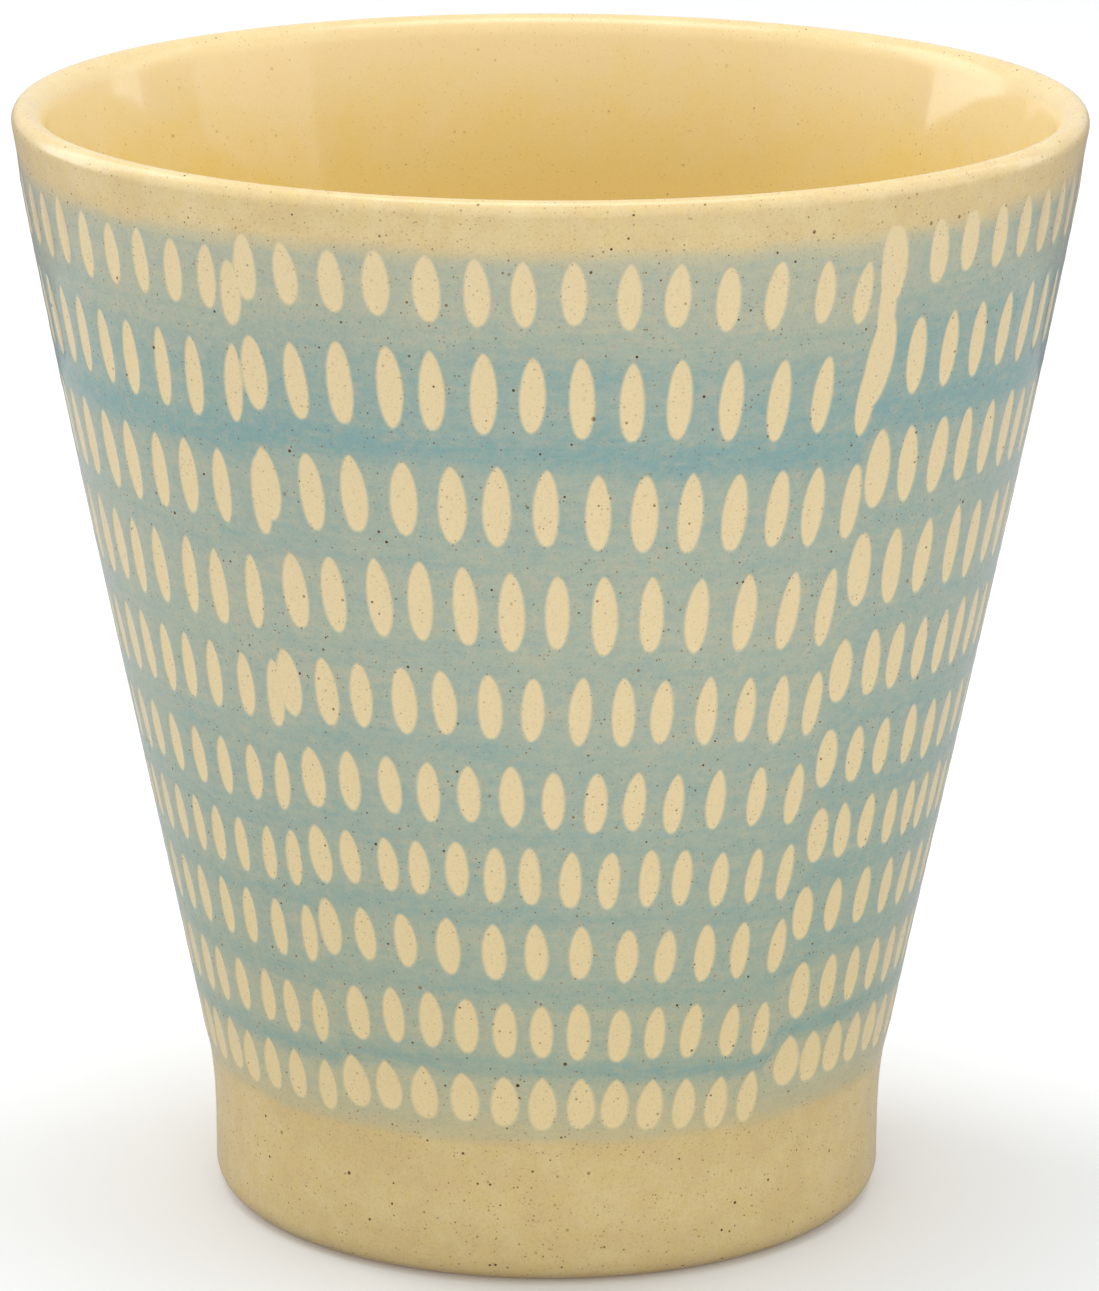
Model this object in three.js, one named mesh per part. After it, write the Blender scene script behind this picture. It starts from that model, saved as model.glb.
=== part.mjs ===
// A handle-less stoneware mug: a turned clay body, and the brushed band of coloured slip on its outside.
// Units are millimetres, +Z is up, and the origin is the centre of the foot's resting plane.
import * as THREE from "three";

// Driving dimensions.
const RIM_RADIUS = 45.4; // outside radius at the mouth
const HEIGHT = 95.5; // foot to lip
const FOOT_RADIUS = 28.95; // outside radius of the upright foot
const WAIST_HEIGHT = 10.5; // where the upright foot turns into the flaring wall
const WAIST_SOFTNESS = 1.7; // how gradually it turns
const WALL_SWELL = 0.36; // how far the flaring wall swells out, most of all two thirds of the way up
const HEEL_ROUND = 2.4; // rounding of the outside bottom edge
const RING_WIDTH = 3.6; // flat foot ring that the mug stands on
const RECESS_DEPTH = 2.6; // hollow inside the foot ring
const RECESS_SLOPE = 1.4; // how far the ring's inner side leans in
const FLOOR_THICKNESS = 6; // clay between the recess and the inside floor
const INNER_ROUND = 9; // rounding between the inside floor and wall
const WALL_BASE = { height: 19, thickness: 5 }; // wall thickness low down; it thins evenly up to the lip
const LIP_OUTER = { width: 1, height: 1.2 }; // outside quarter of the lip
const LIP_INNER = { width: 1.9, height: 2.6 }; // inside quarter of the lip, softer
const SLIP_THICKNESS = 0.2; // fired thickness of the brushed slip
const SLIP_BOTTOM = 11.8; // lower edge of the slip band
const SLIP_TOP = 92.6; // upper edge of the slip band
const SLIP_FEATHER = 2.4; // height over which its edges thin out to nothing

// Facets.
const TURNS = 64; // facets round the axis
const QUARTER = Math.PI / 2;
const ROUND_STEPS = 5; // steps in each quarter round
const WALL_STEP = 9; // height of one facet on the flaring wall
const WAIST_STEP = 1.6; // height of one facet where the wall bends

const CLAY = new THREE.MeshStandardMaterial({ color: 0xe3cfa2, roughness: 0.2, metalness: 0 });
const SLIP = new THREE.MeshStandardMaterial({ color: 0x9dbab2, roughness: 0.25, metalness: 0 });

// 0 below the hinge and rising in a straight line above it, with a soft corner.
function softHinge(height) {
  return WAIST_SOFTNESS * Math.log1p(Math.exp((height - WAIST_HEIGHT) / WAIST_SOFTNESS));
}

// The lip is two elliptical quarters on one centre. Each ends short or runs on a little, so that it leans as the
// wall that it meets leans.
const LIP_CENTRE = RIM_RADIUS - LIP_OUTER.width;
const OUTER_LEAN = (RIM_RADIUS - FOOT_RADIUS) / (HEIGHT - WAIST_HEIGHT);
const LIP_START = -Math.atan((OUTER_LEAN * LIP_OUTER.height) / LIP_OUTER.width);
const WALL_TOP = {
  radius: LIP_CENTRE + LIP_OUTER.width * Math.cos(LIP_START),
  height: HEIGHT - LIP_OUTER.height + LIP_OUTER.height * Math.sin(LIP_START),
};
const FLARE = (WALL_TOP.radius - FOOT_RADIUS) / softHinge(WALL_TOP.height);
const FULLEST = 4 / 27; // the most that share * share * (1 - share) comes to

// Outside radius of the clay body at a height.
function outerRadius(height) {
  const share = THREE.MathUtils.clamp((height - WAIST_HEIGHT) / (WALL_TOP.height - WAIST_HEIGHT), 0, 1);
  const swell = (WALL_SWELL * share * share * (1 - share)) / FULLEST;
  return FOOT_RADIUS + FLARE * softHinge(height) + swell;
}

// An arc of an ellipse as profile points, between two angles.
function arc(centreRadius, centreHeight, width, height, start, end, steps) {
  const points = [];
  for (let step = 0; step <= steps; step++) {
    const angle = start + ((end - start) * step) / steps;
    points.push(
      new THREE.Vector2(centreRadius + width * Math.cos(angle), centreHeight + height * Math.sin(angle)),
    );
  }
  return points;
}

// Heights at which the outside wall has a facet edge, closer together round the waist.
function wallHeights() {
  const heights = [];
  for (let z = HEEL_ROUND + WAIST_STEP; z < SLIP_BOTTOM - WAIST_STEP / 2; z += WAIST_STEP) heights.push(z);
  heights.push(SLIP_BOTTOM, SLIP_BOTTOM + SLIP_FEATHER);
  const low = SLIP_BOTTOM + SLIP_FEATHER;
  const high = SLIP_TOP - SLIP_FEATHER;
  const count = Math.round((high - low) / WALL_STEP);
  for (let i = 1; i <= count; i++) heights.push(low + ((high - low) * i) / count);
  heights.push(SLIP_TOP);
  return heights;
}

const WALL_HEIGHTS = wallHeights();

// The inside wall is a straight cone, from the lip down to the arc that joins it to the inside floor.
const INNER_BASE_RADIUS = outerRadius(WALL_BASE.height) - WALL_BASE.thickness;
const INNER_LEAN =
  (LIP_CENTRE - LIP_INNER.width - INNER_BASE_RADIUS) / (HEIGHT - LIP_INNER.height - WALL_BASE.height);
const LIP_END = Math.PI - Math.atan((INNER_LEAN * LIP_INNER.height) / LIP_INNER.width);
const CONE_TOP = {
  radius: LIP_CENTRE + LIP_INNER.width * Math.cos(LIP_END),
  height: HEIGHT - LIP_INNER.height + LIP_INNER.height * Math.sin(LIP_END),
};
const INNER_FLOOR = RECESS_DEPTH + FLOOR_THICKNESS;

// The rounding between the inside wall and floor, and the middle of the floor.
function insideBottom() {
  const lean = Math.atan(INNER_LEAN);
  const centreHeight = INNER_FLOOR + INNER_ROUND;
  const coneRadius = CONE_TOP.radius - INNER_LEAN * (CONE_TOP.height - centreHeight);
  const centreRadius = coneRadius - INNER_ROUND / Math.cos(lean);
  const rounding = arc(centreRadius, centreHeight, INNER_ROUND, INNER_ROUND, -lean, -QUARTER, 2 * ROUND_STEPS);
  return [...rounding, new THREE.Vector2(0, INNER_FLOOR)];
}

// Turns a profile about +Z.
function turned(profile) {
  return new THREE.LatheGeometry(profile, TURNS).rotateX(Math.PI / 2);
}

// Clay body: foot ring, heel, flaring wall, lip, inside wall and floor in one turned piece.
function stonewareBody() {
  const heelRadius = outerRadius(HEEL_ROUND) - HEEL_ROUND;
  const ringInner = heelRadius - RING_WIDTH;
  const outerLip = [LIP_CENTRE, HEIGHT - LIP_OUTER.height, LIP_OUTER.width, LIP_OUTER.height];
  const innerLip = [LIP_CENTRE, HEIGHT - LIP_INNER.height, LIP_INNER.width, LIP_INNER.height];
  const profile = [
    new THREE.Vector2(0, RECESS_DEPTH),
    new THREE.Vector2(ringInner - RECESS_SLOPE, RECESS_DEPTH),
    new THREE.Vector2(ringInner, 0),
    ...arc(heelRadius, HEEL_ROUND, HEEL_ROUND, HEEL_ROUND, -QUARTER, 0, ROUND_STEPS),
    ...WALL_HEIGHTS.map((z) => new THREE.Vector2(outerRadius(z), z)),
    ...arc(...outerLip, LIP_START, QUARTER, ROUND_STEPS),
    ...arc(...innerLip, QUARTER, LIP_END, ROUND_STEPS).slice(1),
    ...insideBottom(),
  ];
  return turned(profile);
}

// Slip band: a thin coat on the outside wall, feathered out at both edges. Its inner side is the clay's surface.
function slipBand() {
  const heights = WALL_HEIGHTS.filter((z) => z >= SLIP_BOTTOM && z <= SLIP_TOP);
  const inside = heights.map((z) => new THREE.Vector2(outerRadius(z), z));
  const outside = heights
    .slice(1, -1)
    .map((z) => new THREE.Vector2(outerRadius(z) + SLIP_THICKNESS, z));
  return turned([inside[0], ...outside, ...inside.reverse()]);
}

function named(name, geometry, material) {
  const mesh = new THREE.Mesh(geometry, material);
  mesh.name = name;
  return mesh;
}

const mug = new THREE.Group();
mug.add(named("stoneware_body", stonewareBody(), CLAY));
mug.add(named("slip_band", slipBand(), SLIP));

export default mug;
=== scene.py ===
"""The stoneware mug's looks: a turned clay body, and a brushed coat of slip with rows of marks cut in it.

Everything is in metres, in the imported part's frame: +Z is up and the origin is the middle of the foot.
Angles run round the mug from the middle of its front (-Y), positive towards its right side (+X).
"""
import math
import random
from collections import namedtuple

import bmesh
import bpy
import numpy as np
from mathutils import Euler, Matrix, Vector, geometry, noise


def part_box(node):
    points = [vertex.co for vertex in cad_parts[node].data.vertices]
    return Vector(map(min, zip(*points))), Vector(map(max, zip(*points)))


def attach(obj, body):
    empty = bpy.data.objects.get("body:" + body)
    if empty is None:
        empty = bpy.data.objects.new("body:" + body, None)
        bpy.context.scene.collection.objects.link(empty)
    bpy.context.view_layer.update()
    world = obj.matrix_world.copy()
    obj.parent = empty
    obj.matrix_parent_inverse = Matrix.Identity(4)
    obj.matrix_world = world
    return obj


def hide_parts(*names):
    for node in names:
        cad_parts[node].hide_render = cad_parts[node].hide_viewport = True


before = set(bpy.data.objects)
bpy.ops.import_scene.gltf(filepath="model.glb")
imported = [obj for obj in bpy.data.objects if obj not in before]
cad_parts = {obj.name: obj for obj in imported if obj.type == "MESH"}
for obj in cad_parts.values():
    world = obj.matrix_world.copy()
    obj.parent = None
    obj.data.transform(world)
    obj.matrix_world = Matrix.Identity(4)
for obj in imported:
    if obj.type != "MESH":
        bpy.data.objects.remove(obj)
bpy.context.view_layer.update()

MM = 0.001
BODY_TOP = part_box("stoneware_body")[1]
SLIP_LOW, SLIP_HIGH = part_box("slip_band")

# The turned shape, as in the part's source.
HEIGHT = BODY_TOP.z
RIM_RADIUS = BODY_TOP.x
FOOT_RADIUS = 28.95 * MM
WAIST_HEIGHT = 10.5 * MM
WAIST_SOFTNESS = 1.7 * MM
WALL_SWELL = 0.36 * MM
HEEL_ROUND = 2.4 * MM
RING_WIDTH = 3.6 * MM
RECESS_DEPTH = 2.6 * MM
RECESS_SLOPE = 1.4 * MM
FLOOR_THICKNESS = 6 * MM
INNER_ROUND = 9 * MM
WALL_BASE_HEIGHT = 19 * MM
WALL_BASE_THICKNESS = 5 * MM
LIP_OUTER_WIDTH, LIP_OUTER_HEIGHT = 1.0 * MM, 1.2 * MM
LIP_INNER_WIDTH, LIP_INNER_HEIGHT = 1.9 * MM, 2.6 * MM

CORNER = math.radians(50)  # an edge that bends more than this is shaded as a corner

# Facets of the turned body.
TURNS = 384
ROUND_STEPS = 14
WALL_STEP = 1.6 * MM

# The slip coat.
SLIP_BOTTOM, SLIP_TOP = SLIP_LOW.z, SLIP_HIGH.z
SLIP_LIFT = 0.16 * MM  # how far the coat stands proud of the clay
CUT_FLOOR = 0.07 * MM  # how far a mark's floor does, under the glaze that fills it
BRUSH_RELIEF = 0.03 * MM
FURROW_TALL = 0.9 * MM
FURROW_ROUND = 9  # how many of a furrow's lengths fit in the mug's radius
EDGE_FADE = 4.0 * MM  # height over which the coat's edges thin out
EDGE_SINK = 0.01 * MM  # its edges end this far under the clay's surface
COAT_POINT_STEP = 1.0 * MM  # spacing of the mesh's points between the marks
RING_POINTS = 384  # points round each edge of the coat
LINING_STEP = 3 * MM
LINING_DEPTH = 0.08 * MM  # how far under the clay's surface the coat's inner side lies
CUT_LOOPS = (-0.25 * MM, 0.0, 0.30 * MM)  # outlines drawn inside, on and outside each mark's edge
CUT_LOOP_POINTS = 26
CUT_SEEN = 1.0 * MM  # furthest from a mark's edge that its distance is kept
HALVINGS = 14  # steps in which that distance is found
TINY = 1e-9  # keeps a division from failing
WELD = 1e-7  # points of the flat layout that are closer than this are joined

# The marks: rows of nicks, made in five strokes round the mug. A row is level at first and then runs
# downhill to the end of its stroke, and the next stroke starts higher again.
# first and last are the places of a row's end marks, in degrees from the start of a stroke. slip is how
# thick the slip lies between the marks, from 0 to 1, and ring is how thick it lies in the ring under them.
Row = namedtuple("Row", "height tall wide count first last slip ring")
ROWS = (
    Row(88.4 * MM, 5.3 * MM, 2.0 * MM, 14, 1.6, 68.4, 0.23, 0.38),
    Row(79.7 * MM, 6.5 * MM, 1.95 * MM, 14, 1.0, 70.4, 0.68, 0.92),
    Row(70.3 * MM, 6.5 * MM, 2.05 * MM, 14, 1.8, 71.4, 0.48, 0.50),
    Row(61.4 * MM, 6.5 * MM, 1.95 * MM, 13, 2.7, 69.5, 0.38, 0.46),
    Row(52.8 * MM, 5.7 * MM, 1.85 * MM, 14, 1.0, 69.8, 0.42, 0.56),
    Row(44.8 * MM, 5.1 * MM, 1.8 * MM, 13, 1.9, 68.7, 0.52, 0.60),
    Row(37.8 * MM, 4.9 * MM, 1.7 * MM, 14, 1.8, 68.8, 0.48, 0.62),
    Row(30.9 * MM, 4.9 * MM, 1.8 * MM, 12, 2.3, 69.6, 0.46, 0.64),
    Row(23.6 * MM, 4.9 * MM, 1.8 * MM, 12, 4.4, 69.4, 0.32, 0.72),
    Row(17.0 * MM, 4.6 * MM, 2.25 * MM, 12, 3.2, 69.0, 0.10, 0.05),
)
STROKE_SPAN = 72.0  # degrees
FIRST_STROKE = -34.5  # where the stroke on the mug's front begins, in degrees
# load is how much thicker the slip lies over the whole stroke.
Stroke = namedtuple("Stroke", "raised fall load")
STROKES = (
    Stroke(0.1 * MM, 1.9 * MM, 0.02),
    Stroke(0.9 * MM, 0.9 * MM, 0.11),
    Stroke(0.3 * MM, 2.0 * MM, 0.06),
    Stroke(0.6 * MM, 1.6 * MM, 0.1),
    Stroke(-0.1 * MM, 0.9 * MM, 0.02),
)
FLAT_SHARE = 0.2  # how much of a stroke is level
FALL_POWER = 1.3  # above 1, the fall gets steeper along the stroke
DRIFT = 0.5  # degrees that the marks of a row wander from even spacing
DRIFT_RATE = 5  # how fast they do, in radians of a sine wave over a stroke
SEAM_SOFTNESS = 0.6  # degrees over which the brushed rings step from one stroke to the next
LOAD_SOFTNESS = 4.0  # and the slip's thickness

# Along a stroke the marks get narrower, from a share of their row's width, and lean over to the right.
START_WIDTH = 1.05
WIDTH_LOSS = 0.2
FIRST_EXTRA = 0.12  # what a stroke's first mark has on top of that
LEAN_GAIN = 6.5  # degrees
UPRIGHT_SHARE = 0.45  # how far along a stroke the marks stand upright
UPPER_SHARES = (0.52, 0.58)  # how much of a mark's height lies above its widest place
# The ends of a mark are elliptical at a power of 1, more pointed above it and blunter below it.
TOP_POWERS = (1.0, 1.35)
BOTTOM_POWERS = (0.8, 1.1)
# What the lowest row's marks, which are nearer to teardrops, have on top of these.
DROP_UPPER, DROP_TOP, DROP_BOTTOM = 0.04, 0.35, -0.1
MARK_SEED = 11
# How uneven the marks are, either way: degrees, shares of the size, and millimetres.
ANGLE_PLAY = 0.35
LEAN_PLAY = 2.5
WIDTH_PLAY = 0.06
TALL_PLAY = 0.05
HEIGHT_PLAY = 0.2
BOW_PLAY = 0.1

# bow is how far a mark's middle is pushed aside from the line between its ends.
Mark = namedtuple("Mark", "angle height half_width upper lower lean bow top_power bottom_power")
# Where the stroke on the front begins and where it ends, marks of the top rows run together. These take the
# place of any marks that come too near them.
SEAM_MARKS = (
    Mark(math.radians(-35.2), 86.2 * MM, 0.95 * MM, 2.9 * MM, 2.5 * MM, 0.05, 0.1 * MM, 1.1, 0.9),
    Mark(math.radians(-32.9), 88.5 * MM, 1.0 * MM, 2.9 * MM, 2.5 * MM, 0.0, 0.0, 1.1, 0.9),
    Mark(math.radians(37.9), 88.6 * MM, 1.3 * MM, 3.3 * MM, 3.2 * MM, -0.05, 0.1 * MM, 0.8, 0.9),
    Mark(math.radians(37.7), 84.6 * MM, 0.85 * MM, 3.4 * MM, 3.4 * MM, -0.05, 0.1 * MM, 0.8, 0.8),
    Mark(math.radians(37.7), 80.6 * MM, 1.35 * MM, 3.9 * MM, 4.0 * MM, 0.12, 0.1 * MM, 1.0, 1.0),
    Mark(math.radians(36.8), 77.8 * MM, 0.9 * MM, 3.2 * MM, 3.4 * MM, 0.1, -0.1 * MM, 1.0, 1.0),
)
NEAR_ANGLE = 0.05  # radians
NEAR_HEIGHT = 5 * MM


def turn(angle):
    """An angle brought to within half a turn of zero."""
    return (angle + np.pi) % (2 * np.pi) - np.pi


# The lip is two elliptical quarters on one centre. They end where they lean as much as the wall they meet.
LIP_CENTRE = RIM_RADIUS - LIP_OUTER_WIDTH
OUTER_LEAN = (RIM_RADIUS - FOOT_RADIUS) / (HEIGHT - WAIST_HEIGHT)
LIP_START = -math.atan(OUTER_LEAN * LIP_OUTER_HEIGHT / LIP_OUTER_WIDTH)
WALL_TOP_RADIUS = LIP_CENTRE + LIP_OUTER_WIDTH * math.cos(LIP_START)
WALL_TOP = HEIGHT - LIP_OUTER_HEIGHT + LIP_OUTER_HEIGHT * math.sin(LIP_START)


def soft_hinge(height):
    """0 below the waist and rising in a straight line above it, with a soft corner."""
    return WAIST_SOFTNESS * np.log1p(np.exp((height - WAIST_HEIGHT) / WAIST_SOFTNESS))


FLARE = (WALL_TOP_RADIUS - FOOT_RADIUS) / soft_hinge(WALL_TOP)
FULLEST = 4 / 27  # the most that share * share * (1 - share) comes to


def wall_radius(height):
    """Radius of the clay's outside wall at a height."""
    share = np.clip((height - WAIST_HEIGHT) / (WALL_TOP - WAIST_HEIGHT), 0, 1)
    return FOOT_RADIUS + FLARE * soft_hinge(height) + WALL_SWELL * share * share * (1 - share) / FULLEST


def stepped(start, end, step):
    """Evenly spaced values from start to end, about a step apart."""
    return np.linspace(start, end, max(2, round(abs(end - start) / step) + 1))


def arc(centre_radius, centre_height, width, height, start, end, steps):
    """Points of an elliptical arc between two angles, as (radius, height)."""
    angles = np.linspace(start, end, steps + 1)
    return list(zip(centre_radius + width * np.cos(angles), centre_height + height * np.sin(angles)))


def body_profile():
    """Half section of the clay, from the recess over the lip to the floor, and where its inside starts."""
    heel_radius = wall_radius(HEEL_ROUND) - HEEL_ROUND
    ring_inner = heel_radius - RING_WIDTH
    inner_base_radius = wall_radius(WALL_BASE_HEIGHT) - WALL_BASE_THICKNESS
    lip_low = HEIGHT - LIP_INNER_HEIGHT
    inner_lean = (LIP_CENTRE - LIP_INNER_WIDTH - inner_base_radius) / (lip_low - WALL_BASE_HEIGHT)
    lip_end = math.pi - math.atan(inner_lean * LIP_INNER_HEIGHT / LIP_INNER_WIDTH)
    cone_top_radius = LIP_CENTRE + LIP_INNER_WIDTH * math.cos(lip_end)
    cone_top = lip_low + LIP_INNER_HEIGHT * math.sin(lip_end)
    lean = math.atan(inner_lean)
    floor = RECESS_DEPTH + FLOOR_THICKNESS
    round_height = floor + INNER_ROUND
    round_radius = cone_top_radius - inner_lean * (cone_top - round_height) - INNER_ROUND / math.cos(lean)
    cone_end = round_height - INNER_ROUND * math.sin(lean)

    recess = ring_inner - RECESS_SLOPE
    points = [(r, RECESS_DEPTH) for r in stepped(WALL_STEP, recess, 2 * WALL_STEP)]
    points.append((ring_inner, 0.0))
    points += arc(heel_radius, HEEL_ROUND, HEEL_ROUND, HEEL_ROUND, -math.pi / 2, 0, ROUND_STEPS)
    points += [(wall_radius(z), z) for z in stepped(HEEL_ROUND, WALL_TOP, WALL_STEP)[1:-1]]
    lip = (LIP_CENTRE, HEIGHT - LIP_OUTER_HEIGHT, LIP_OUTER_WIDTH, LIP_OUTER_HEIGHT)
    points += arc(*lip, LIP_START, math.pi / 2, ROUND_STEPS)
    inside_start = len(points)
    lip = (LIP_CENTRE, lip_low, LIP_INNER_WIDTH, LIP_INNER_HEIGHT)
    points += arc(*lip, math.pi / 2, lip_end, ROUND_STEPS)[1:]
    cone = stepped(cone_top, cone_end, WALL_STEP)[1:-1]
    points += [(cone_top_radius - inner_lean * (cone_top - z), z) for z in cone]
    points += arc(round_radius, round_height, INNER_ROUND, INNER_ROUND, -lean, -math.pi / 2, 2 * ROUND_STEPS)
    points += [(r, floor) for r in stepped(round_radius, WALL_STEP, 2 * WALL_STEP)[1:]]
    return points, inside_start


def place(angle, radius, height):
    """The point at an angle round the mug, a radius and a height."""
    return np.stack([radius * np.sin(angle), -radius * np.cos(angle), height], axis=-1)


def new_piece(name, points, faces, node, material):
    """A smooth-shaded mesh piece that replaces a CAD node."""
    mesh = bpy.data.meshes.new(name)
    mesh.from_pydata(points, [], faces)
    shell = bmesh.new()
    shell.from_mesh(mesh)
    bmesh.ops.recalc_face_normals(shell, faces=shell.faces)
    shell.to_mesh(mesh)
    shell.free()
    mesh.shade_smooth()
    mesh.set_sharp_from_angle(angle=CORNER)
    mesh.materials.append(material)
    piece = bpy.data.objects.new(name, mesh)
    bpy.context.scene.collection.objects.link(piece)
    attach(piece, "root")
    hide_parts(node)
    return piece


def add_attribute(piece, name, values):
    """A number for each point of a piece, which its material reads."""
    attribute = piece.data.attributes.new(name, "FLOAT", "POINT")
    attribute.data.foreach_set("value", np.asarray(values, np.float32))


def ring_faces(rings, turns):
    """Quads between rings of points, where ring i is points i * turns and on."""
    faces = []
    for ring in range(rings - 1):
        for i in range(turns):
            j = (i + 1) % turns
            low, high = ring * turns, (ring + 1) * turns
            faces.append((low + i, low + j, high + j, high + i))
    return faces


def make_body(material):
    """The clay body, turned in one piece, with a point on the axis at each end of its profile."""
    profile, inside_start = body_profile()
    angles = np.arange(TURNS) * 2 * np.pi / TURNS
    points = np.concatenate([place(angles, r, np.full(TURNS, z)) for r, z in profile])
    ends = np.array([(0, 0, profile[0][1]), (0, 0, profile[-1][1])])
    faces = ring_faces(len(profile), TURNS)
    under, over = len(points), len(points) + 1
    last = (len(profile) - 1) * TURNS
    for i in range(TURNS):
        j = (i + 1) % TURNS
        faces.append((under, j, i))
        faces.append((over, last + i, last + j))
    body = new_piece(
        "clay_body", np.concatenate([points, ends]), faces, "stoneware_body", material
    )
    inside = np.zeros(len(profile))
    inside[inside_start:] = 1
    inside[inside_start : inside_start + ROUND_STEPS] = np.linspace(0, 1, ROUND_STEPS)
    add_attribute(body, "inside", np.concatenate([np.repeat(inside, TURNS), [0, 1]]))


# The wall is laid out flat as a plane ring that keeps its angles, so that one triangulation goes round it.
LAYOUT_STEPS = 2000
LAYOUT_HEIGHTS = np.linspace(SLIP_BOTTOM, SLIP_TOP, LAYOUT_STEPS)
LAYOUT_RADII = wall_radius(LAYOUT_HEIGHTS)
_slant = np.hypot(1, np.gradient(LAYOUT_RADII, LAYOUT_HEIGHTS))
_growth = np.diff(LAYOUT_HEIGHTS) * ((_slant / LAYOUT_RADII)[1:] + (_slant / LAYOUT_RADII)[:-1]) / 2
LAYOUT_LOGS = np.concatenate([[0], np.cumsum(_growth)])


def lay_out(angles, heights):
    """Points of the wall laid out on the plane ring."""
    reach = np.exp(np.interp(heights, LAYOUT_HEIGHTS, LAYOUT_LOGS))
    return np.stack([reach * np.cos(angles), reach * np.sin(angles)], axis=-1)


def roll_up(flat):
    """Angles and heights on the wall of points on the plane ring."""
    reach = np.log(np.hypot(flat[:, 0], flat[:, 1]))
    return np.arctan2(flat[:, 1], flat[:, 0]), np.interp(reach, LAYOUT_LOGS, LAYOUT_HEIGHTS)


def smooth(share):
    """An S curve from 0 to 1."""
    share = np.clip(share, 0, 1)
    return share * share * (3 - 2 * share)


def stroke_shift(stroke, share):
    """How far a stroke's rows lie above their stated heights, a share of the way along it."""
    downhill = np.clip((share - FLAT_SHARE) / (1 - FLAT_SHARE), 0, None)
    return stroke.raised - stroke.fall * downhill**FALL_POWER


def along_strokes(angles, value, softness):
    """A value that each stroke has, at angles round the mug, with a soft step between strokes."""
    along = (np.degrees(angles) - FIRST_STROKE) % 360 / STROKE_SPAN
    index = np.floor(along).astype(int) % len(STROKES)
    share = along % 1
    values = np.array([value(stroke, share) for stroke in STROKES])
    ends = np.array([value(stroke, np.ones(1))[0] for stroke in STROKES])
    here = values[index, np.arange(len(angles))]
    before = ends[(index - 1) % len(STROKES)]
    return before + (here - before) * smooth(share * STROKE_SPAN / softness)


def stroke_load(stroke, share):
    """How much thicker the slip lies, a share of the way along a stroke."""
    return np.full(len(share), stroke.load)


def play(dice, most):
    """A random step, at most so much either way."""
    return dice.uniform(-most, most)


def cut_row(row, stroke, start, dice):
    """The marks of one row in one stroke, which starts at an angle in degrees."""
    marks = []
    teardrop = row is ROWS[-1]
    drift = dice.uniform(0, 2 * math.pi)
    for i in range(row.count):
        share = i / (row.count - 1)
        angle = row.first + (row.last - row.first) * share
        angle += DRIFT * math.sin(drift + DRIFT_RATE * share) + play(dice, ANGLE_PLAY)
        size = START_WIDTH - WIDTH_LOSS * share * share + play(dice, WIDTH_PLAY)
        if i == 0:
            size += FIRST_EXTRA
        tall = row.tall * (1 + play(dice, TALL_PLAY))
        upper_share = dice.uniform(*UPPER_SHARES) + (DROP_UPPER if teardrop else 0)
        height = row.height + stroke_shift(stroke, angle / STROKE_SPAN) + play(dice, HEIGHT_PLAY) * MM
        marks.append(
            Mark(
                angle=math.radians(start + angle),
                height=height - (upper_share - 0.5) * tall,
                half_width=row.wide * size / 2,
                upper=tall * upper_share,
                lower=tall * (1 - upper_share),
                lean=math.radians(play(dice, LEAN_PLAY) + LEAN_GAIN * (share - UPRIGHT_SHARE)),
                bow=play(dice, BOW_PLAY) * MM,
                top_power=dice.uniform(*TOP_POWERS) + (DROP_TOP if teardrop else 0),
                bottom_power=dice.uniform(*BOTTOM_POWERS) + (DROP_BOTTOM if teardrop else 0),
            )
        )
    return marks


def apart(mark, others):
    """Whether a mark's middle lies clear of other marks."""
    for other in others:
        if abs(mark.angle - other.angle) <= NEAR_ANGLE and abs(mark.height - other.height) <= NEAR_HEIGHT:
            return False
    return True


def cut_marks():
    """All the marks, stroke by stroke."""
    dice = random.Random(MARK_SEED)
    marks = []
    for i, stroke in enumerate(STROKES):
        start = FIRST_STROKE + i * STROKE_SPAN
        for row in ROWS:
            marks += [mark for mark in cut_row(row, stroke, start, dice) if apart(mark, SEAM_MARKS)]
    return marks + list(SEAM_MARKS)


def mark_outline(mark, offset):
    """Angles and heights of the outline an offset outside a mark's edge."""
    around = np.arange(CUT_LOOP_POINTS) * 2 * np.pi / CUT_LOOP_POINTS
    rise, side = np.sin(around), np.cos(around)
    reach = np.where(rise > 0, mark.upper, mark.lower) + offset
    power = np.where(rise > 0, mark.top_power, mark.bottom_power)
    up = reach * rise
    across = (mark.half_width + offset) * np.sign(side) * np.abs(side) ** power
    across = across + mark.bow * (1 - rise**2)
    along = across * math.cos(mark.lean) + up * math.sin(mark.lean)
    up = up * math.cos(mark.lean) - across * math.sin(mark.lean)
    return mark.angle + along / wall_radius(mark.height), mark.height + up


def distance_from_mark(mark, angles, heights):
    """Signed distance of points from a mark's edge, negative inside, found by halving."""
    along = turn(angles - mark.angle) * wall_radius(mark.height)
    rise = heights - mark.height
    across = along * math.cos(mark.lean) - rise * math.sin(mark.lean)
    up = rise * math.cos(mark.lean) + along * math.sin(mark.lean)
    reach = np.where(up > 0, mark.upper, mark.lower)
    power = np.where(up > 0, mark.top_power, mark.bottom_power)
    low = np.full(len(angles), -mark.half_width)
    high = np.full(len(angles), CUT_SEEN)
    for _ in range(HALVINGS):
        middle = (low + high) / 2
        share = np.clip(np.abs(up) / np.maximum(reach + middle, TINY), 0, 1)
        aside = np.abs(across - mark.bow * (1 - share**2))
        inside = aside < (mark.half_width + middle) * (1 - share**2) ** (power / 2)
        high = np.where(inside, middle, high)
        low = np.where(inside, low, middle)
    return (low + high) / 2


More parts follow.
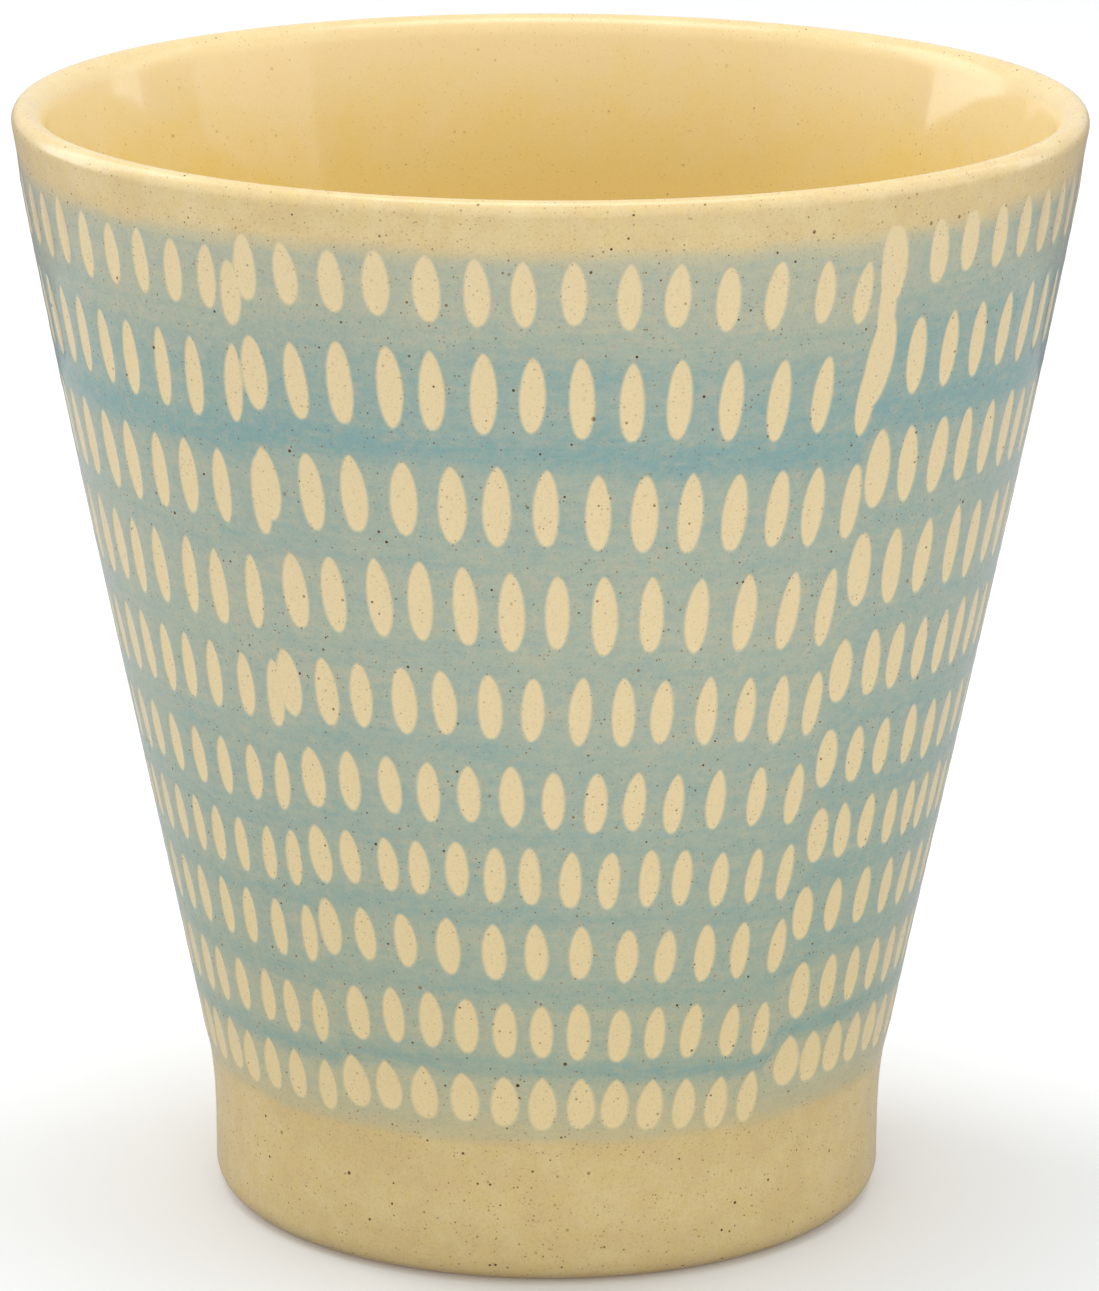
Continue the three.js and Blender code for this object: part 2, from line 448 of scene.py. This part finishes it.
def distance_from_cuts(marks, angles, heights):
    """Signed distance of points from the nearest mark's edge, no more than CUT_SEEN."""
    nearest = np.full(len(angles), CUT_SEEN)
    for mark in marks:
        tall = mark.upper + CUT_SEEN
        wide = mark.half_width + abs(mark.bow) + CUT_SEEN + tall * abs(math.sin(mark.lean))
        wide /= wall_radius(mark.height)
        level = np.abs(heights - mark.height) < tall
        close = np.flatnonzero(level & (np.abs(turn(angles - mark.angle)) < wide))
        found = distance_from_mark(mark, angles[close], heights[close])
        nearest[close] = np.minimum(nearest[close], found)
    return nearest


def coat_points(marks):
    """Points between the marks, in staggered rows about a step apart."""
    angles, heights = [], []
    row_step = COAT_POINT_STEP * math.sqrt(3) / 2
    for i, height in enumerate(stepped(SLIP_BOTTOM, SLIP_TOP, row_step)[1:-1]):
        count = round(2 * math.pi * wall_radius(height) / COAT_POINT_STEP)
        angles.append((np.arange(count) + i % 2 / 2) * 2 * np.pi / count)
        heights.append(np.full(count, height))
    angles, heights = np.concatenate(angles), np.concatenate(heights)
    clear = distance_from_cuts(marks, angles, heights) > CUT_LOOPS[-1] + COAT_POINT_STEP / 3
    return angles[clear], heights[clear]


def coat_outside(marks):
    """The coat's outer side: angles and heights of its points, its two edges first, and its triangles."""
    edge = np.arange(RING_POINTS) * 2 * np.pi / RING_POINTS
    parts = [lay_out(edge, np.full(RING_POINTS, height)) for height in (SLIP_BOTTOM, SLIP_TOP)]
    loops = [RING_POINTS, RING_POINTS]
    for mark in marks:
        for offset in CUT_LOOPS:
            parts.append(lay_out(*mark_outline(mark, offset)))
            loops.append(CUT_LOOP_POINTS)
    parts.append(lay_out(*coat_points(marks)))
    edges = []
    start = 0
    for size in loops:
        edges += [(start + i, start + (i + 1) % size) for i in range(size)]
        start += size
    flat = [Vector(p) for p in np.concatenate(parts)]
    points, _, faces, _, _, _ = geometry.delaunay_2d_cdt(flat, edges, [], 0, WELD, True)
    points, faces = np.array(points), np.array(faces)
    hole = (faces < RING_POINTS).all(axis=1)
    angles, heights = roll_up(points)
    return angles, heights, faces[~hole]


def coat_lift(angles, heights, cut):
    """How far the coat's outer side stands off the clay, with faint furrows from the brush."""
    furrow = np.array(
        [
            noise.noise(Vector((math.sin(a) * FURROW_ROUND, math.cos(a) * FURROW_ROUND, h / FURROW_TALL)))
            for a, h in zip(angles, heights)
        ]
    )
    whole = SLIP_LIFT + BRUSH_RELIEF * furrow
    slope = smooth((cut - CUT_LOOPS[0]) / (CUT_LOOPS[-1] - CUT_LOOPS[0]))
    lift = CUT_FLOOR + (whole - CUT_FLOOR) * slope
    fade = smooth(np.minimum(heights - SLIP_BOTTOM, SLIP_TOP - heights) / EDGE_FADE)
    return -EDGE_SINK + (lift + EDGE_SINK) * fade


def make_coat(material):
    """The slip coat: a thin closed shell whose outer side dips where the marks are cut."""
    marks = cut_marks()
    angles, heights, faces = coat_outside(marks)
    cut = distance_from_cuts(marks, angles, heights)
    outside = place(angles, wall_radius(heights) + coat_lift(angles, heights, cut), heights)
    levels = stepped(SLIP_BOTTOM, SLIP_TOP, LINING_STEP)[1:-1]
    edge = np.arange(RING_POINTS) * 2 * np.pi / RING_POINTS
    lining = [place(edge, wall_radius(z) - LINING_DEPTH, np.full(RING_POINTS, z)) for z in levels]
    start = len(outside)
    rings = [np.arange(RING_POINTS)]
    rings += [start + i * RING_POINTS + np.arange(RING_POINTS) for i in range(len(levels))]
    rings.append(RING_POINTS + np.arange(RING_POINTS))
    shell = [tuple(f) for f in faces.tolist()]
    for low, high in zip(rings[:-1], rings[1:]):
        for i in range(RING_POINTS):
            j = (i + 1) % RING_POINTS
            shell.append((int(low[j]), int(low[i]), int(high[i]), int(high[j])))
    points = np.concatenate([outside, *lining])
    coat = new_piece("carved_slip_coat", points, shell, "slip_band", material)
    unseen = np.full(len(points) - len(outside), CUT_SEEN)
    add_attribute(coat, "cut_mm", np.concatenate([cut, unseen]) / MM)
    shift = along_strokes(angles, stroke_shift, SEAM_SOFTNESS)
    add_attribute(coat, "shift_mm", np.concatenate([shift, np.zeros(len(unseen))]) / MM)
    load = along_strokes(angles, stroke_load, LOAD_SOFTNESS)
    add_attribute(coat, "load", np.concatenate([load, np.zeros(len(unseen))]))


# ---- materials ----


class Nodes:
    """Builds one material's nodes. Wherever a number is taken, another node's output can be given."""

    def __init__(self, name):
        self.material = bpy.data.materials.new(name)
        self.material.use_nodes = True
        self.tree = self.material.node_tree
        self.tree.nodes.clear()

    def add(self, kind, inputs, **settings):
        """A node with its input sockets linked or set, and its settings set."""
        node = self.tree.nodes.new(kind)
        for name, value in settings.items():
            setattr(node, name, value)
        for socket, value in inputs.items():
            if isinstance(value, bpy.types.NodeSocket):
                self.tree.links.new(value, node.inputs[socket])
            else:
                node.inputs[socket].default_value = value
        return node

    def math(self, operation, a, b=0.0, c=0.0, clamp=False):
        """One step of arithmetic."""
        node = self.add("ShaderNodeMath", {0: a, 1: b, 2: c}, operation=operation, use_clamp=clamp)
        return node.outputs[0]

    def fit(self, value, low, high, start=0.0, end=1.0):
        """Value carried from low..high to start..end along an S curve."""
        inputs = {"Value": value, "From Min": low, "From Max": high, "To Min": start, "To Max": end}
        return self.add("ShaderNodeMapRange", inputs, interpolation_type="SMOOTHSTEP").outputs["Result"]

    def mix(self, factor, a, b, blend="MIX"):
        """Two colours mixed, or blended in another way."""
        node = self.add("ShaderNodeMix", {}, data_type="RGBA", blend_type=blend)
        for socket, value in ((0, factor), (6, a), (7, b)):
            if isinstance(value, bpy.types.NodeSocket):
                self.tree.links.new(value, node.inputs[socket])
            else:
                node.inputs[socket].default_value = value
        return node.outputs[2]

    def attribute(self, name):
        """A number stored on the mesh's points."""
        return self.add("ShaderNodeAttribute", {}, attribute_name=name).outputs["Fac"]

    def place(self, stretch, shift):
        """Object coordinates, scaled and shifted."""
        where = self.add("ShaderNodeTexCoord", {}).outputs["Object"]
        node = self.add("ShaderNodeMapping", {"Vector": where, "Scale": stretch, "Location": shift})
        return node.outputs["Vector"]

    def noise(self, texture):
        """Soft noise from 0 to 1."""
        inputs = {
            "Vector": self.place(texture.stretch, texture.shift),
            "Scale": 1 / texture.size,
            "Detail": texture.detail,
            "Roughness": texture.roughness,
        }
        return self.add("ShaderNodeTexNoise", inputs).outputs["Fac"]

    def sway(self, value, reach):
        """A value from 0 to 1 made to swing by a reach either way of 0."""
        return self.math("MULTIPLY_ADD", value, 2 * reach, -reach)

    def height(self):
        """Height above the foot, in millimetres."""
        where = self.add("ShaderNodeTexCoord", {}).outputs["Object"]
        z = self.add("ShaderNodeSeparateXYZ", {"Vector": where}).outputs["Z"]
        return self.math("DIVIDE", z, MM)

    def specks(self, sort):
        """How dark one sort of speck is, from 0 to 1."""
        inputs = {"Vector": self.place(UNSTRETCHED, sort.shift), "Scale": 1 / sort.spacing}
        cells = self.add("ShaderNodeTexVoronoi", inputs)
        dice = self.add("ShaderNodeSeparateColor", {"Color": cells.outputs["Color"]})
        smallest = SMALLEST_SPECK * sort.radius / sort.spacing
        reach = self.fit(dice.outputs["Green"], 0.0, 1.0, smallest, sort.radius / sort.spacing)
        edge = self.math("MULTIPLY", reach, SPECK_FLAT)
        inside = self.fit(cells.outputs["Distance"], edge, reach, 1.0, 0.0)
        present = self.math("LESS_THAN", dice.outputs["Red"], sort.share)
        darkness = self.math("POWER", dice.outputs["Blue"], sort.power)
        return self.math("MULTIPLY", self.math("MULTIPLY", inside, present), darkness)


def srgb(red, green, blue):
    """A colour given as 0-255 sRGB values, as a linear colour."""
    linear = []
    for value in (red, green, blue):
        value /= 255
        linear.append(value / 12.92 if value <= 0.04045 else ((value + 0.055) / 1.055) ** 2.4)
    return (*linear, 1.0)


CLAY = srgb(244, 220, 165)
CLAY_WARM = srgb(237, 209, 152)
CLAY_YELLOW = srgb(241, 214, 148)
CLAY_LIP = srgb(244, 222, 168)
# the inside deep down: the glaze's own yellow with painted shade and yellow bounced light in it
INSIDE_YELLOW_AND_PAINTED_BOUNCE = srgb(242, 215, 132)
CLAY_CUT = srgb(250, 227, 177)
CLAY_BARE = srgb(214, 186, 144)
SPECK_HALO = srgb(146, 112, 68)
SPECK_CORE = srgb(66, 46, 24)
SLIP_THIN = srgb(206, 203, 171)
SLIP_THICK = srgb(144, 180, 176)
SLIP_WARM = srgb(204, 195, 167)
LOW_PAINTED_SHADE = (0.89, 0.88, 0.81, 1.0)  # painted shade, which the slip and the cut clay are multiplied by low on the wall
FOOT_PAINTED_SHADE = (0.822, 0.812, 0.758, 1.0)  # and the painted shade that the rest of the clay is multiplied by
HEEL_PAINTED_SHADE = (0.9, 0.9, 0.9, 1.0)  # and, besides that, painted shade right at the foot

# Heights in millimetres: where something has its full strength, and where it has faded out.
# Painted shade low on the wall, darker towards the foot:
LOW_SHADE_FADE = (5.0, 62.0)
# Painted shade right at the foot, by the floor:
HEEL_SHADE_FADE = (1.0, 8.0)
DEEP_YELLOW_AND_SHADE_FADE = (80.0, 95.0)  # the inside's deeper yellow: partly the glaze's own colour, partly painted shade and yellow bounced light deeper in the cup
BARE_FADE = (0.5, 0.9)  # the bare clay of the foot ring
GLOSS_FADE = (92.6, 94.4)  # the inside's smoother glaze

CLAY_ROUGHNESS = 0.22
INSIDE_ROUGHNESS = 0.08
BARE_ROUGHNESS = 0.7
SLIP_ROUGHNESS = 0.15
GLAZE_IOR = 1.5
GLAZE_RELIEF = 0.01 * MM

# Noise: the size of its features, how rough it is, how much flatter it is along x, y and z, and its start.
UNSTRETCHED = (1, 1, 1)
UNSHIFTED = (0, 0, 0)
PLAIN = (0.5, UNSTRETCHED, UNSHIFTED)
Texture = namedtuple("Texture", "size detail roughness stretch shift", defaults=PLAIN)
CLOUDS = Texture(4.5 * MM, 5.0, roughness=0.65)
YELLOW_PATCHES = Texture(1.6 * MM, 2.0, shift=(0.2, 0.7, 0.5))
GRAIN = Texture(0.22 * MM, 1.0)
GLAZE_WAVES = Texture(3.5 * MM, 1.0)
DEEP_WANDER = Texture(4 * MM, 4.0, roughness=0.6, shift=(0.6, 0.3, 0.8))
BARE_WANDER = Texture(5 * MM, 3.0)
STREAKS = Texture(7 * MM, 4.0, roughness=0.6, stretch=(1, 1, 11))
BANDS = Texture(8 * MM, 2.0, stretch=(1, 1, 3), shift=(0.3, 0.6, 0.2))
BLOTCHES = Texture(0.9 * MM, 2.0, stretch=(1, 1, 1.3), shift=(0.5, 0.2, 0.1))
WARM_PATCHES = Texture(1.4 * MM, 3.0, stretch=(1, 1, 1.5), shift=(0.1, 0.9, 0.4))
EDGE_WANDER = Texture(8 * MM, 4.0, stretch=(1, 1, 3))

# Between which values of its noise a colour comes in, and how much of it there is then.
CLOUD_RANGE = (0.36, 0.64)
YELLOW_RANGE, YELLOW_SHARE = (0.4, 0.7), 0.7
WARM_RANGE, WARM_SHARE = (0.5, 0.75), 0.35
GRAIN_RANGE, GRAIN_STRENGTH = (0.45, 0.8), 0.12

# How far lines wander on the surface, in millimetres, and how far the slip's thickness does.
DEEP_REACH = 8.0
BARE_REACH = 0.5
EDGE_REACH = 0.8
STREAK_REACH = 0.3
BAND_REACH = 0.2
BLOTCH_REACH = 0.3

# Millimetres inside the band's edges: where the slip begins, and where it is whole.
LOW_EDGE = (0.4, 1.7)
HIGH_EDGE = (0.4, 2.8)
WASHED_EDGE = (0.5, 5.2)
WASHED_SHARE = 0.5  # how much of it is left at the lower edge, where it is washed thin
MARK_EDGE = (-0.15, 0.24)  # millimetres from a mark's edge, between which the clay gives way to slip

# Specks lie in cells a spacing apart, in a share of the cells. A radius is that of the largest, and a power
# above 1 makes most of them faint.
Specks = namedtuple("Specks", "spacing radius share power shift")
DARK_SPECKS = Specks(2.4 * MM, 0.24 * MM, 0.8, 1.1, (0.3, 0.1, 0.2))
MIDDLE_SPECKS = Specks(0.9 * MM, 0.16 * MM, 0.8, 1.8, (0.7, 0.5, 0.9))
FINE_SPECKS = Specks(0.36 * MM, 0.12 * MM, 0.9, 1.8, (0.4, 0.8, 0.6))
FINE_STRENGTH = 0.58
SMALLEST_SPECK = 0.4  # the smallest speck's radius, as a share of the largest one's
SPECK_FLAT = 0.55  # how much of a speck's radius is evenly dark
HALO_GAIN = 1.4  # how fast a speck turns brown as it gets stronger
CORE_RANGE = (0.2, 1.1)  # the strengths between which it turns nearly black
RIM_SPECKS = 0.75  # how strong the specks are near the lip
RIM_HEIGHTS = (88.0, 93.0)  # millimetres, between which they weaken to that
INSIDE_SPECKS = 0.35  # and how much of that is left on the inside
CUT_SPECKS = 0.65  # and how strong they are where the slip is cut away


def low_shade_mask(nodes):
    """Where the painted shade lies: 1 at the foot, fading to 0 up the wall."""
    return nodes.fit(nodes.height(), *LOW_SHADE_FADE, 1.0, 0.0)


def clay_colour(nodes):
    """The glazed clay's colour without its specks, with painted shade darkening it towards the foot and more
    so right at it.
    """
    clouds = nodes.fit(nodes.noise(CLOUDS), *CLOUD_RANGE)
    colour = nodes.mix(clouds, CLAY, CLAY_WARM)
    patches = nodes.fit(nodes.noise(YELLOW_PATCHES), *YELLOW_RANGE, 0.0, YELLOW_SHARE)
    colour = nodes.mix(patches, colour, CLAY_YELLOW)
    # painted shade: the clay darkens towards the foot
    colour = nodes.mix(low_shade_mask(nodes), colour, FOOT_PAINTED_SHADE, blend="MULTIPLY")
    # painted shade: darker still right at the foot, by the floor
    heel = nodes.fit(nodes.height(), *HEEL_SHADE_FADE, 1.0, 0.0)
    return nodes.mix(heel, colour, HEEL_PAINTED_SHADE, blend="MULTIPLY")


def speckled(nodes, colour, share):
    """A colour with a fine grain and iron specks of three sizes, brown and nearly black at their cores."""
    grain = nodes.fit(nodes.noise(GRAIN), *GRAIN_RANGE, 0.0, GRAIN_STRENGTH)
    fine = nodes.math("MULTIPLY", nodes.specks(FINE_SPECKS), FINE_STRENGTH)
    fine = nodes.math("MAXIMUM", fine, grain)
    middle = nodes.math("MAXIMUM", nodes.specks(MIDDLE_SPECKS), fine)
    strength = nodes.math("MAXIMUM", nodes.specks(DARK_SPECKS), middle)
    strength = nodes.math("MULTIPLY", strength, share)
    colour = nodes.mix(nodes.math("MULTIPLY", strength, HALO_GAIN, clamp=True), colour, SPECK_HALO)
    return nodes.mix(nodes.fit(strength, *CORE_RANGE), colour, SPECK_CORE)


def finish_glaze(nodes, colour, roughness):
    """The glossy surface, with the slight waviness of a glaze."""
    inputs = {"Height": nodes.noise(GLAZE_WAVES), "Distance": GLAZE_RELIEF, "Strength": 1.0}
    bump = nodes.add("ShaderNodeBump", inputs)
    inputs = {
        "Base Color": colour,
        "Roughness": roughness,
        "IOR": GLAZE_IOR,
        "Normal": bump.outputs["Normal"],
    }
    shader = nodes.add("ShaderNodeBsdfPrincipled", inputs)
    nodes.add("ShaderNodeOutputMaterial", {"Surface": shader.outputs["BSDF"]})
    return nodes.material


def glazed_clay():
    """Speckled cream clay under a clear glaze, bare where the foot ring was wiped clean."""
    nodes = Nodes("glazed_clay")
    inside = nodes.attribute("inside")
    # deeper inside, the clay turns a deeper yellow: partly the glaze's colour, partly painted shade and
    # bounced light
    drop = nodes.math("ADD", nodes.height(), nodes.sway(nodes.noise(DEEP_WANDER), DEEP_REACH))
    deep = nodes.fit(drop, *DEEP_YELLOW_AND_SHADE_FADE, 1.0, 0.0)
    colour = nodes.mix(inside, clay_colour(nodes), nodes.mix(deep, CLAY_LIP, INSIDE_YELLOW_AND_PAINTED_BOUNCE))
    fewer = nodes.fit(nodes.height(), *RIM_HEIGHTS, 1.0, RIM_SPECKS)
    fewer = nodes.math("MULTIPLY", fewer, nodes.fit(inside, 0.0, 1.0, 1.0, INSIDE_SPECKS))
    colour = speckled(nodes, colour, fewer)
    wander = nodes.math("MULTIPLY", nodes.noise(BARE_WANDER), BARE_REACH)
    line = nodes.math("ADD", nodes.height(), wander)
    bare = nodes.fit(line, *BARE_FADE, 1.0, 0.0)
    colour = nodes.mix(bare, colour, CLAY_BARE)
    deeper = nodes.math("MULTIPLY", inside, nodes.fit(nodes.height(), *GLOSS_FADE, 1.0, 0.0))
    glossy = nodes.fit(deeper, 0.0, 1.0, CLAY_ROUGHNESS, INSIDE_ROUGHNESS)
    roughness = nodes.fit(bare, 0.0, 1.0, glossy, BARE_ROUGHNESS)
    return finish_glaze(nodes, colour, roughness)


def glazed_slip():
    """Blue-green slip, brushed on in rings and thin in places, with clay in the marks and at the edges."""
    nodes = Nodes("glazed_slip")
    height = nodes.height()
    shifted = nodes.math("SUBTRACT", height, nodes.attribute("shift_mm"))
    rings = nodes.math("ADD", brushed_rings(nodes, shifted), nodes.attribute("load"))
    amount = nodes.math("ADD", rings, nodes.sway(nodes.noise(STREAKS), STREAK_REACH))
    amount = nodes.math("ADD", amount, nodes.sway(nodes.noise(BANDS), BAND_REACH))
    amount = nodes.math("ADD", amount, nodes.sway(nodes.noise(BLOTCHES), BLOTCH_REACH), clamp=True)
    slip = nodes.mix(amount, SLIP_THIN, SLIP_THICK)
    patches = nodes.fit(nodes.noise(WARM_PATCHES), *WARM_RANGE, 0.0, WARM_SHARE)
    slip = nodes.mix(patches, slip, SLIP_WARM)

    line = nodes.math("ADD", height, nodes.sway(nodes.noise(EDGE_WANDER), EDGE_REACH))
    bottom, top = SLIP_BOTTOM / MM, SLIP_TOP / MM
    low = nodes.fit(line, bottom + LOW_EDGE[0], bottom + LOW_EDGE[1])
    washed = nodes.fit(line, bottom + WASHED_EDGE[0], bottom + WASHED_EDGE[1], WASHED_SHARE, 1.0)
    high = nodes.fit(line, top - HIGH_EDGE[1], top - HIGH_EDGE[0], 1.0, 0.0)
    covered = nodes.math("MULTIPLY", nodes.math("MULTIPLY", low, washed), high)
    kept = nodes.fit(nodes.attribute("cut_mm"), *MARK_EDGE)
    # painted shade: the slip and the cut clay darken towards the foot
    slip = nodes.mix(low_shade_mask(nodes), slip, LOW_PAINTED_SHADE, blend="MULTIPLY")
    cut = nodes.mix(low_shade_mask(nodes), CLAY_CUT, LOW_PAINTED_SHADE, blend="MULTIPLY")
    colour = nodes.mix(kept, cut, nodes.mix(covered, clay_colour(nodes), slip))
    colour = speckled(nodes, colour, nodes.fit(kept, 0.0, 1.0, CUT_SPECKS, 1.0))
    return finish_glaze(nodes, colour, SLIP_ROUGHNESS)


# How far from a row's middle the ring under it lies, and where the even slip between its marks begins and
# ends, as shares of half the row's height.
RING_DROP = 1.45
EVEN_BELOW = 0.66
EVEN_ABOVE = 0.55


def brushed_rings(nodes, height):
    """How thick the slip lies by height: thin at the band's edges, and thicker in a ring under each row."""
    low, high = SLIP_BOTTOM / MM, SLIP_TOP / MM
    share = nodes.math("DIVIDE", nodes.math("SUBTRACT", height, low), high - low)
    ramp = nodes.add("ShaderNodeValToRGB", {"Fac": share})
    ramp.color_ramp.interpolation = "EASE"
    stops = [(low, 0.0)]
    for row in reversed(ROWS):
        middle, half = row.height / MM, row.tall / 2 / MM
        stops += [(middle - half * RING_DROP, row.ring)]
        stops += [(middle - half * EVEN_BELOW, row.slip), (middle + half * EVEN_ABOVE, row.slip)]
    stops.append((high, 0.0))
    elements = ramp.color_ramp.elements
    while len(elements) < len(stops):
        elements.new(0.5)
    for element, (where, value) in zip(elements, stops):
        element.position = (where - low) / (high - low)
        element.color = (value, value, value, 1.0)
    return ramp.outputs["Color"]


# ---- stage, lights and camera ----

# The camera's angles are in radians, its lens and sensor in millimetres.
CAMERA_PLACE = Vector((0.093, -552.94, 194.55)) * MM
CAMERA_PITCH = math.radians(14.855)
CAMERA_ROLL = 0.0039
CAMERA_NEAR = 10 * MM
LENS = 185.07
SENSOR = 36.0

WORLD_COLOUR = (0.95, 0.97, 1.0, 1.0)
WORLD_STRENGTH = 0.64

FLOOR_COLOUR = (0.95, 0.95, 0.95, 1.0)
CARD_COLOUR = (0.32, 0.31, 0.34, 1.0)
PAPER_COLOUR = (0.7, 0.7, 0.7, 1.0)
CARD_HEIGHT, PAPER_HEIGHT = -2 * MM, -1 * MM
FLOOR_REACH = 3.0
PAPER_REACH = 0.29
SHEET_SIDES = 64
SHEET_ROUGHNESS = 0.9

# azimuth and elevation are in degrees, and azimuth 0 is behind the mug and 90 on its right. distance, width
# and height are in metres, and power is in watts. A light that isn't mirrored doesn't show in reflections.
Softbox = namedtuple("Softbox", "name azimuth elevation distance width height power mirrored colour")
WHITE = (1.0, 1.0, 1.0)
WARM = (1.0, 0.88, 0.62)
SOFTBOXES = (
    Softbox("rear_left_softbox", -62, 22, 0.9, 0.46, 1.0, 3.3, True, WHITE),
    Softbox("rear_left_fill", -60, 22, 0.9, 0.6, 1.0, 0.3, False, WHITE),
    Softbox("rear_right_softbox", 60.5, 22, 0.9, 0.18, 1.0, 0.78, True, WHITE),
    Softbox("rear_right_fill", 58, 22, 0.9, 0.5, 1.0, 0.67, False, WHITE),
    Softbox("left_softbox", -102, 20, 1.0, 0.6, 0.8, 0.35, True, WHITE),
    Softbox("right_softbox", 102, 20, 1.0, 0.6, 0.8, 1.2, True, WHITE),
    Softbox("front_low_softbox", 180, 4, 1.2, 0.9, 0.3, 4.6, False, WHITE),
    Softbox("front_softbox", 180, 35, 1.2, 0.9, 0.6, 0.3, True, WHITE),
    Softbox("back_softbox", 0, 20, 1.2, 1.6, 0.6, 0.3, True, WARM),
    Softbox("top_softbox", 0, 88, 1.1, 0.95, 0.5, 5.0, True, WHITE),
)


def make_camera():
    """A long lens in front of the mug, looking a little down at it, with a very slight roll."""
    data = bpy.data.cameras.new("camera")
    data.lens = LENS
    data.sensor_width = SENSOR
    data.clip_start = CAMERA_NEAR
    camera = bpy.data.objects.new("camera", data)
    bpy.context.scene.collection.objects.link(camera)
    camera.location = CAMERA_PLACE
    look = Euler((math.pi / 2 - CAMERA_PITCH, 0, 0)).to_matrix() @ Euler((0, 0, CAMERA_ROLL)).to_matrix()
    camera.rotation_euler = look.to_euler()
    bpy.context.scene.camera = camera


def make_softbox(box):
    """A rectangular light aimed at the mug's middle."""
    data = bpy.data.lights.new(box.name, "AREA")
    data.shape = "RECTANGLE"
    data.size, data.size_y = box.width, box.height
    data.energy = box.power
    data.color = box.colour
    light = bpy.data.objects.new(box.name, data)
    bpy.context.scene.collection.objects.link(light)
    azimuth, elevation = math.radians(box.azimuth), math.radians(box.elevation)
    level = box.distance * math.cos(elevation)
    rise = box.distance * math.sin(elevation)
    light.location = (level * math.sin(azimuth), level * math.cos(azimuth), rise + HEIGHT / 2)
    aim = Vector((0, 0, HEIGHT / 2)) - light.location
    light.rotation_euler = aim.to_track_quat("-Z", "Y").to_euler()
    light.visible_glossy = box.mirrored


def level_sheet(name, height, colour, reach):
    """A level disc of one plain colour under the mug."""
    around = np.arange(SHEET_SIDES) * 2 * np.pi / SHEET_SIDES
    mesh = bpy.data.meshes.new(name)
    mesh.from_pydata(place(around, reach, np.full(SHEET_SIDES, height)), [], [range(SHEET_SIDES)])
    sheet = bpy.data.objects.new(name, mesh)
    bpy.context.scene.collection.objects.link(sheet)
    nodes = Nodes(name)
    shader = nodes.add("ShaderNodeBsdfPrincipled", {"Base Color": colour, "Roughness": SHEET_ROUGHNESS})
    nodes.add("ShaderNodeOutputMaterial", {"Surface": shader.outputs["BSDF"]})
    mesh.materials.append(nodes.material)
    return sheet


def make_floor():
    """The pale floor, and under it a grey card and a paler paper, which only light and reflections see."""
    floor = level_sheet("floor", 0.0, FLOOR_COLOUR, FLOOR_REACH)
    floor.visible_glossy = False
    floor.visible_diffuse = False
    card = level_sheet("bounce_card", CARD_HEIGHT, CARD_COLOUR, FLOOR_REACH)
    card.visible_camera = False
    paper = level_sheet("bounce_paper", PAPER_HEIGHT, PAPER_COLOUR, PAPER_REACH)
    paper.visible_camera = False


def make_world():
    """An even, faintly cool light from all round."""
    world = bpy.data.worlds.new("studio")
    world.use_nodes = True
    background = world.node_tree.nodes["Background"]
    background.inputs["Color"].default_value = WORLD_COLOUR
    background.inputs["Strength"].default_value = WORLD_STRENGTH
    bpy.context.scene.world = world


make_body(glazed_clay())
make_coat(glazed_slip())
make_floor()
make_world()
for box in SOFTBOXES:
    make_softbox(box)
make_camera()
bpy.context.scene.view_settings.view_transform = "Standard"
